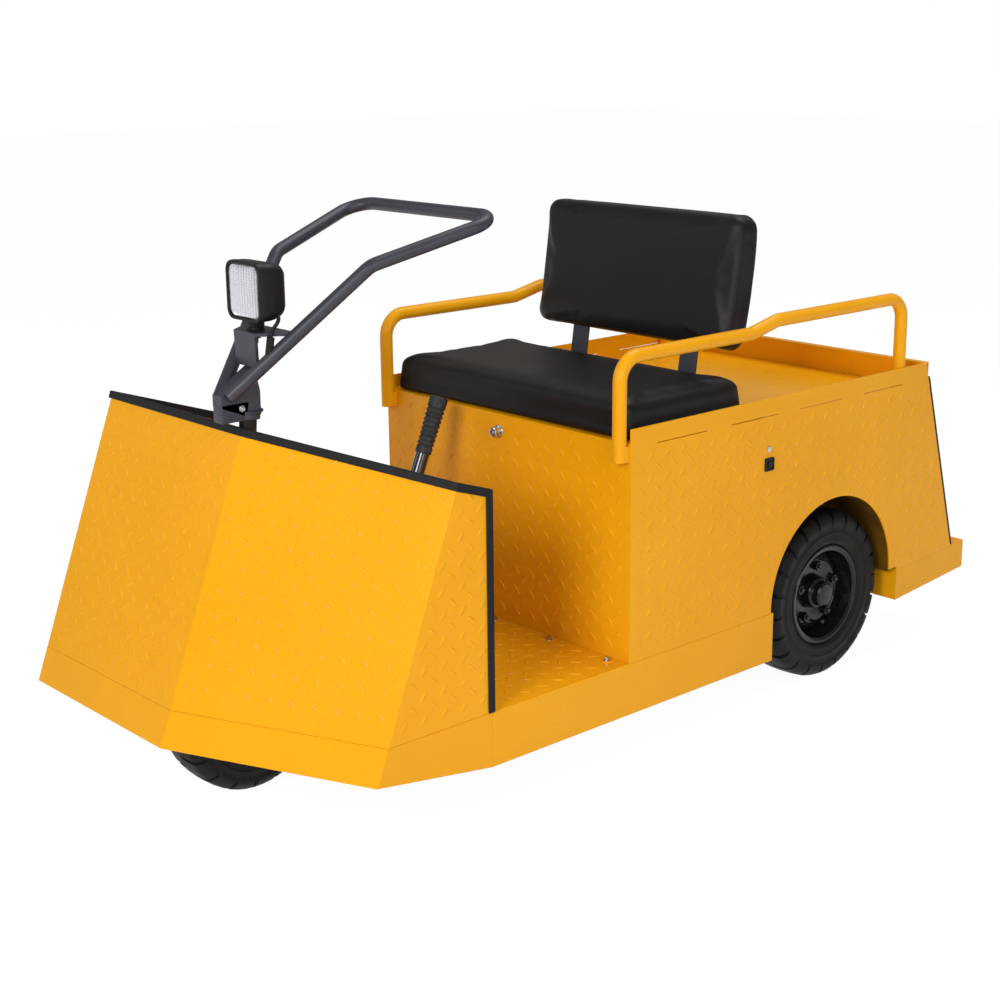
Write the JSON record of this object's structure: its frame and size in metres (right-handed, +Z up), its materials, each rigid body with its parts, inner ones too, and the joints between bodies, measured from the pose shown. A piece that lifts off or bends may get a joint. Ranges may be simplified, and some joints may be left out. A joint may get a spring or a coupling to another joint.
{
  "type": "baggage tug",
  "caption": "Tiller-steered baggage tug with a sheet-metal nose shield, padded bench over a seat box, grab rails, cargo tray, headlamp and tow hitch.",
  "frame": {"origin": "on the ground under the middle of the whole vehicle's box", "axes": "+Z up, +Y towards the rear, so the tug drives towards -Y, and +X towards its left side"},
  "size_m": [0.868, 1.9788, 1.0495],
  "materials": {
    "yellow_paint": "semi-gloss enamel over tread plate",
    "black_paint": "satin black paint",
    "slate_paint": "dark slate paint",
    "rim_paint": "black paint",
    "tyre": "worn black tread rubber",
    "black_rubber": "moulded rubber edge",
    "seat_vinyl": "black vinyl cover",
    "lamp_plastic": "moulded black",
    "lamp_glass": "ribbed lens",
    "battery_case": "moulded case"
  },
  "bodies": {
    "chassis": {"accelerator_pedal": "black_paint", "battery_block": "battery_case", "brake_grip": "black_rubber", "brake_lever": "black_paint", "brake_pedal": "black_paint", "chassis_frame": "black_paint", "drive_unit": "black_paint", "fender_right": "yellow_paint", "floor_plate": "yellow_paint", "grab_rail_left": "yellow_paint", "grab_rail_right": "yellow_paint", "nose_sill": "yellow_paint", "rear_axle": "black_paint", "rear_bumper": "yellow_paint", "rear_panel": "yellow_paint", "rear_trim_left": "black_rubber", "rear_trim_right": "black_rubber", "seat_box_front": "yellow_paint", "seat_cushion": "seat_vinyl", "seatback": "seat_vinyl", "seatback_bracket_left": "black_paint", "seatback_bracket_right": "black_paint", "shield": "yellow_paint", "shield_trim": "black_rubber", "side_panel_left": "yellow_paint", "side_panel_right": "yellow_paint", "sill_left": "yellow_paint", "sill_right": "yellow_paint", "steering_head": "black_paint", "top_tray": "yellow_paint", "tow_hitch": "black_paint", "wheel_arch_left": "yellow_paint"},
    "steering": {"steering_fork": "black_paint", "tiller_loop": "slate_paint", "tiller_foot": "slate_paint", "lamp_bracket": "slate_paint", "lamp_housing": "lamp_plastic", "lamp_lens": "lamp_glass", "lamp_lead": "black_rubber"},
    "front_wheel": {"tyre_front": "tyre", "rim_front": "rim_paint"},
    "rear_left_wheel": {"tyre_rear_left": "tyre", "rim_rear_left": "rim_paint"},
    "rear_right_wheel": {"tyre_rear_right": "tyre", "rim_rear_right": "rim_paint"}
  },
  "joints": [
    {"name": "steering", "type": "hinge", "parent": "chassis", "child": "steering", "pos_m": [0, -0.7956, 0.15], "axis": [0, 0.0802, 0.9968], "range_deg": [-40, 40]},
    {"name": "front_wheel_spin", "type": "hinge", "parent": "steering", "child": "front_wheel", "pos_m": [0, -0.7956, 0.15], "axis": [1, 0, 0], "continuous": true},
    {"name": "rear_left_spin", "type": "hinge", "parent": "chassis", "child": "rear_left_wheel", "pos_m": [0.354, 0.4304, 0.185], "axis": [1, 0, 0], "continuous": true},
    {"name": "rear_right_spin", "type": "hinge", "parent": "chassis", "child": "rear_right_wheel", "pos_m": [-0.354, 0.4304, 0.185], "axis": [1, 0, 0], "continuous": true}
  ]
}
